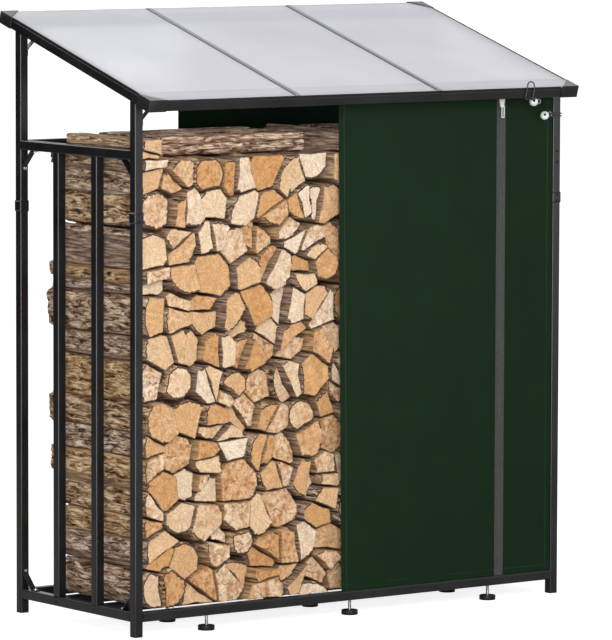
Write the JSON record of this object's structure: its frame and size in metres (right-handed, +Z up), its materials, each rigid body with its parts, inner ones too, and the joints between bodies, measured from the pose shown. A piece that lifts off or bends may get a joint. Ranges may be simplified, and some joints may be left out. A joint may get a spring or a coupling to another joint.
{
  "type": "log store",
  "caption": "Lean-to log store of square steel tube with a sloping translucent roof, zipped fabric covers, levelling feet and a stack of split firewood.",
  "frame": {"origin": "on the ground, at the middle of the roof's plan", "axes": "+Z up, +X to the right along the front, -Y towards the open front"},
  "size_m": [1.668, 0.8322, 1.8913],
  "materials": {
    "frame_steel": "satin black powder coat",
    "foot_plastic": "moulded black",
    "screw_zinc": "bright zinc",
    "roof_sheet": "translucent twin-wall sheet",
    "joint_strip": "grey satin",
    "cap_plastic": "moulded dark grey",
    "cover_fabric": "dark green coated weave",
    "zip_tape": "dark grey woven tape",
    "zip_metal": "bright",
    "toggle_ball": "pale moulded",
    "elastic": "black braided",
    "split_wood": "split and sawn, with bark"
  },
  "bodies": {
    "root": {"post_front_left": "frame_steel", "post_front_right": "frame_steel", "post_back_left": "frame_steel", "post_back_right": "frame_steel", "post_plugs": "foot_plastic", "base_rail_front": "frame_steel", "base_rail_back": "frame_steel", "base_rails_middle": "frame_steel", "sill_left": "frame_steel", "sill_right": "frame_steel", "foot_pads": "foot_plastic", "foot_screws": "screw_zinc", "side_rail_left": "frame_steel", "side_rail_right": "frame_steel", "back_rail": "frame_steel", "side_bars_left": "frame_steel", "side_bars_right": "frame_steel", "braces_left": "frame_steel", "braces_right": "frame_steel", "braces_front": "frame_steel", "braces_back": "frame_steel", "rafter_left": "frame_steel", "rafter_right": "frame_steel", "eaves_beam": "frame_steel", "ridge_beam": "frame_steel", "purlin_front": "frame_steel", "purlin_back": "frame_steel", "roof_sheet_1": "roof_sheet", "roof_sheet_2": "roof_sheet", "roof_sheet_3": "roof_sheet", "roof_joints": "joint_strip", "roof_corner_caps": "cap_plastic", "front_cover": "cover_fabric", "front_cover_edge": "cover_fabric", "zip_tape": "zip_tape", "zip_slider": "zip_metal", "zip_pull": "zip_metal", "back_cover": "cover_fabric", "toggle_balls": "toggle_ball", "post_elastic": "elastic", "roof_elastic": "elastic", "firewood_1": "split_wood", "firewood_2": "split_wood", "firewood_3": "split_wood", "firewood_4": "split_wood", "firewood_5": "split_wood", "firewood_6": "split_wood", "firewood_7": "split_wood", "firewood_8": "split_wood", "firewood_top": "split_wood", "firewood_cross": "split_wood"}
  },
  "joints": []
}
